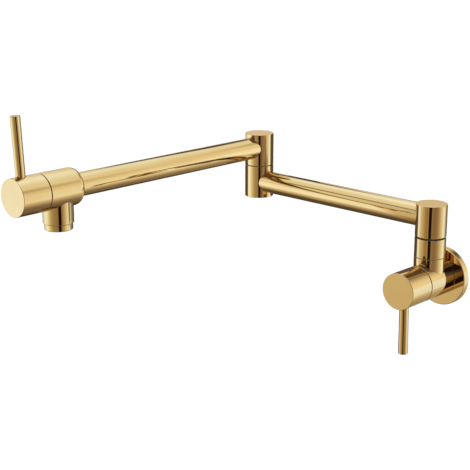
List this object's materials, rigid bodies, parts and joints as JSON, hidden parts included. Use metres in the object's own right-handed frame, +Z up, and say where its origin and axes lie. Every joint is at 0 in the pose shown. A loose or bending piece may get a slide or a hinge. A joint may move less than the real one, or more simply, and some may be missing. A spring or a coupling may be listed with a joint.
{
  "type": "wall mounted pot filler",
  "caption": "Wall mounted pot filler: two tubular arms on swivels, a quarter-turn valve at the wall and one at the spout, each with a lever.",
  "frame": {"origin": "on the wall face, where the axis of the wall valve meets it", "axes": "+Y into the wall along the axis of the wall valve, +X to the right as seen from the room, +Z up"},
  "size_m": [0.2911, 0.3934, 0.2513],
  "materials": {
    "polished_gold": "mirror polished warm gold plating",
    "raw_brass": "machined",
    "stainless_steel": "machined",
    "black_rubber": "matt moulded",
    "white_ceramic": "lapped ceramic",
    "dark_acetal": "turned plastic"
  },
  "bodies": {
    "wall_valve": {"wall_flange": "polished_gold", "flange_o_ring": "black_rubber", "inlet_nipple": "raw_brass", "wall_valve_body": "polished_gold", "post_collar": "polished_gold", "post_thrust_washer": "dark_acetal", "wall_cartridge_body": "raw_brass", "wall_seat_seal": "black_rubber", "wall_fixed_disc": "white_ceramic", "wall_gland_nut": "raw_brass"},
    "wall_handle": {"wall_handle_cap": "polished_gold", "wall_lever": "polished_gold", "wall_set_screw": "stainless_steel", "wall_stem": "raw_brass", "wall_stem_o_ring": "black_rubber", "wall_moving_disc": "white_ceramic"},
    "inner_arm": {"post_hub": "polished_gold", "post_spindle": "raw_brass", "post_lower_o_ring": "black_rubber", "post_upper_o_ring": "black_rubber", "post_circlip": "stainless_steel", "inner_tube": "polished_gold", "elbow_lower_hub": "polished_gold", "elbow_bottom_plug": "polished_gold"},
    "outer_arm": {"elbow_upper_hub": "polished_gold", "elbow_spindle": "raw_brass", "elbow_lower_o_ring": "black_rubber", "elbow_upper_o_ring": "black_rubber", "elbow_circlip": "stainless_steel", "elbow_thrust_washer": "dark_acetal", "outer_tube": "polished_gold", "spout_valve_body": "polished_gold", "spout_cartridge_body": "raw_brass", "spout_seat_seal": "black_rubber", "spout_fixed_disc": "white_ceramic", "spout_gland_nut": "raw_brass", "aerator_housing": "polished_gold", "aerator_screen": "stainless_steel", "aerator_washer": "black_rubber"},
    "spout_handle": {"spout_handle_cap": "polished_gold", "spout_lever": "polished_gold", "spout_set_screw": "stainless_steel", "spout_stem": "raw_brass", "spout_stem_o_ring": "black_rubber", "spout_moving_disc": "white_ceramic"}
  },
  "joints": [
    {"name": "wall_handle_turn", "type": "hinge", "parent": "wall_valve", "child": "wall_handle", "pos_m": [0, -0.069, 0], "axis": [0, -1, 0], "range_deg": [0, 90]},
    {"name": "post_swivel", "type": "hinge", "parent": "wall_valve", "child": "inner_arm", "pos_m": [0, -0.027, 0.0469], "axis": [0, 0, 1], "range_deg": [0, 180]},
    {"name": "elbow_swivel", "type": "hinge", "parent": "inner_arm", "child": "outer_arm", "pos_m": [-0.2365, -0.027, 0.0862], "axis": [0, 0, 1], "continuous": true},
    {"name": "spout_handle_turn", "type": "hinge", "parent": "outer_arm", "child": "spout_handle", "pos_m": [-0.24135, -0.35416, 0.1058], "axis": [-0.0148, -0.9999, 0], "range_deg": [0, 90]}
  ]
}
